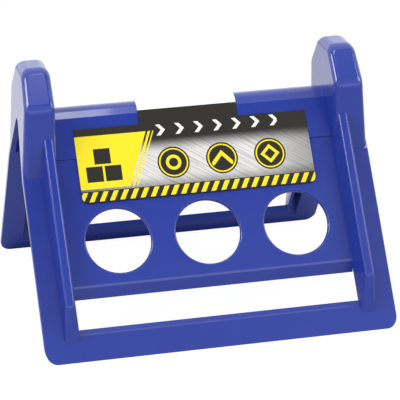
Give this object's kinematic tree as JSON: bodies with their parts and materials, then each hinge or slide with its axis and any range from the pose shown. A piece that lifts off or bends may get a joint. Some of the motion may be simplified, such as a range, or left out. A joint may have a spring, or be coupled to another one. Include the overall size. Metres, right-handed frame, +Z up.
{
  "type": "strap corner protector",
  "caption": "A-shaped moulded corner protector for tie-down straps, with end ears, side ribs, rope holes, strap slots and a printed label card.",
  "frame": {"origin": "on the floor, under the middle of the ridge", "axes": "+X along the ridge, +Y from the labelled front leg to the back leg, +Z up"},
  "size_m": [0.2, 0.1766, 0.1441],
  "materials": {
    "moulded_shell": "satin",
    "label_card": "gloss"
  },
  "bodies": {
    "root": {"body": "moulded_shell", "label": "label_card"}
  },
  "joints": []
}
